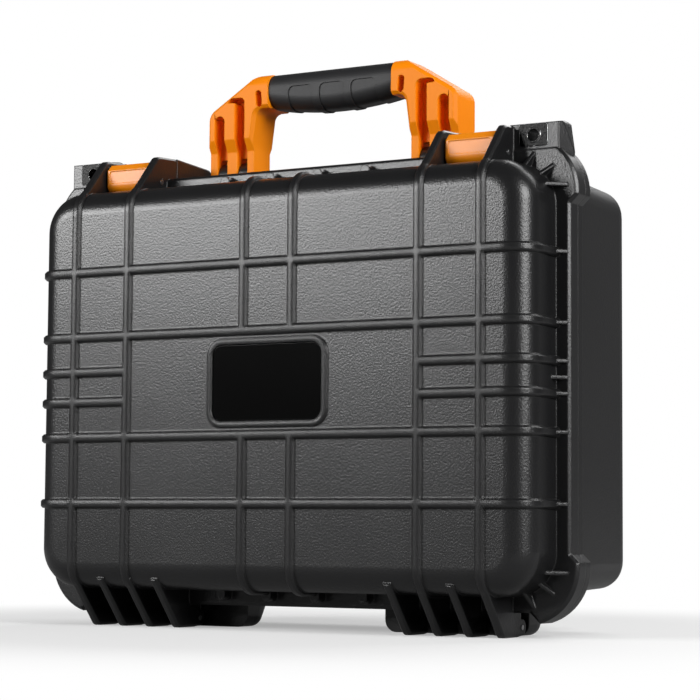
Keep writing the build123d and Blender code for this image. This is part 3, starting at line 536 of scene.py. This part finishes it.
def foam_material(name):
    """Open-cell foam: dark grey, with small pores that are sunk in its skin and painted darker as shade.
    """
    material = bpy.data.materials.new(name)
    material.use_nodes = True
    tree = material.node_tree
    shader = tree.nodes["Principled BSDF"]
    shader.inputs["Roughness"].default_value = foam_roughness
    shader.inputs["Specular IOR Level"].default_value = foam_specular
    place = tree.nodes.new("ShaderNodeTexCoord")
    cells = tree.nodes.new("ShaderNodeTexVoronoi")
    cells.inputs["Scale"].default_value = pore_scale
    pore_shade_and_height = tree.nodes.new("ShaderNodeMapRange")
    pore_shade_and_height.inputs["From Min"].default_value = pore_floor
    pore_shade_and_height.inputs["From Max"].default_value = pore_rim
    tone = tree.nodes.new("ShaderNodeMix")
    tone.data_type = "RGBA"
    tone.inputs[6].default_value = (*pore_painted_shade, 1.0)
    tone.inputs[7].default_value = (*foam_grey, 1.0)
    bump = tree.nodes.new("ShaderNodeBump")
    bump.inputs["Distance"].default_value = pore_depth
    tree.links.new(place.outputs["Object"], cells.inputs["Vector"])
    tree.links.new(cells.outputs["Distance"], pore_shade_and_height.inputs["Value"])
    tree.links.new(pore_shade_and_height.outputs["Result"], tone.inputs[0])
    tree.links.new(tone.outputs[2], shader.inputs["Base Color"])
    tree.links.new(pore_shade_and_height.outputs["Result"], bump.inputs["Height"])
    tree.links.new(bump.outputs["Normal"], shader.inputs["Normal"])
    return material


foam = foam_material("open_cell_foam")
foam_low, foam_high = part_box("base_foam_block")
foam_mid_z = (foam_low[2] + foam_high[2]) / 2
first_column = -cube_side * (slit_columns - 1) / 2
first_row = foam_mid_z - cube_side * (slit_rows - 1) / 2
slit_front = foam_low[1] - slit_depth
slit_back = foam_low[1] + slit_depth
cubes = cad_copy("base_foam_block", "foam_cubes")
upright_slits = block(
    "upright_slits",
    (first_column - slit_width / 2, slit_front, foam_low[2] - cube_side),
    (first_column + slit_width / 2, slit_back, foam_high[2] + cube_side),
)
modify(
    upright_slits, "ARRAY", count=slit_columns, use_relative_offset=False, use_constant_offset=True,
    constant_offset_displace=(cube_side, 0.0, 0.0),
)
combine(cubes, upright_slits, "DIFFERENCE")
level_slits = block(
    "level_slits",
    (foam_low[0] - cube_side, slit_front, first_row - slit_width / 2),
    (foam_high[0] + cube_side, slit_back, first_row + slit_width / 2),
)
modify(
    level_slits, "ARRAY", count=slit_rows, use_relative_offset=False, use_constant_offset=True,
    constant_offset_displace=(0.0, 0.0, cube_side),
)
combine(cubes, level_slits, "DIFFERENCE")
foam_layer = cad_copy("base_foam_layer", "foam_layer")
foam_sheet = cad_copy("base_foam_sheet", "foam_sheet")
for piece in (foam_layer, foam_sheet):
    modify(
        piece, "BEVEL", width=foam_edge, segments=foam_edge_steps,
        limit_method="ANGLE", angle_limit=foam_edge_angle,
    )
foam_pieces = (
    (cubes, "base_foam_block"), (foam_layer, "base_foam_layer"), (foam_sheet, "base_foam_sheet"),
)
for piece, node in foam_pieces:
    finish_piece(piece, foam, "base")
    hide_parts(node)

# Foam in the lid: one sheet of the same foam, cut by profiled rollers into rows of round bumps. Its
# flat back is glued into the lid.
bump_pitch = 0.026
bump_height = 0.013
bump_clear = 0.0003
mesh_columns = 156
mesh_rows = 112
lid_foam_low, lid_foam_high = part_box("lid_foam_sheet")
lid_foam_mid_z = (lid_foam_low[2] + lid_foam_high[2]) / 2
cut_width = lid_foam_high[0] - lid_foam_low[0] + cube_side
cut_height = lid_foam_high[2] - lid_foam_low[2] + cube_side
bpy.ops.object.select_all(action="DESELECT")
bpy.ops.mesh.primitive_grid_add(
    x_subdivisions=mesh_columns, y_subdivisions=mesh_rows, size=1.0,
    location=(0.0, lid_foam_high[1], lid_foam_mid_z), rotation=(-math.pi / 2, 0.0, 0.0),
    scale=(cut_width, cut_height, 1.0),
)
egg_foam = bpy.context.object
egg_foam.name = "lid_foam"
bpy.ops.object.transform_apply(location=True, rotation=True, scale=True)
for corner in egg_foam.data.vertices:
    across = math.cos(2 * math.pi * corner.co.x / bump_pitch)
    upward = math.cos(2 * math.pi * (corner.co.z - lid_foam_mid_z) / bump_pitch)
    corner.co.y -= bump_clear + bump_height * (1 - (across + upward) / 2) / 2
bpy.ops.object.mode_set(mode="EDIT")
bpy.ops.mesh.select_all(action="SELECT")
bpy.ops.mesh.extrude_region_move(TRANSFORM_OT_translate={"value": (0.0, -cube_side, 0.0)})
bpy.ops.transform.resize(
    value=(1.0, 0.0, 1.0), center_override=(0.0, lid_foam_low[1] - cube_side, 0.0)
)
bpy.ops.mesh.select_all(action="SELECT")
bpy.ops.mesh.normals_make_consistent(inside=False)
bpy.ops.object.mode_set(mode="OBJECT")
lid_foam_form = cad_copy("lid_foam_sheet", "lid_foam_form")
combine(egg_foam, lid_foam_form, "INTERSECT")
finish_piece(egg_foam, foam, "lid")
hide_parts("lid_foam_sheet")
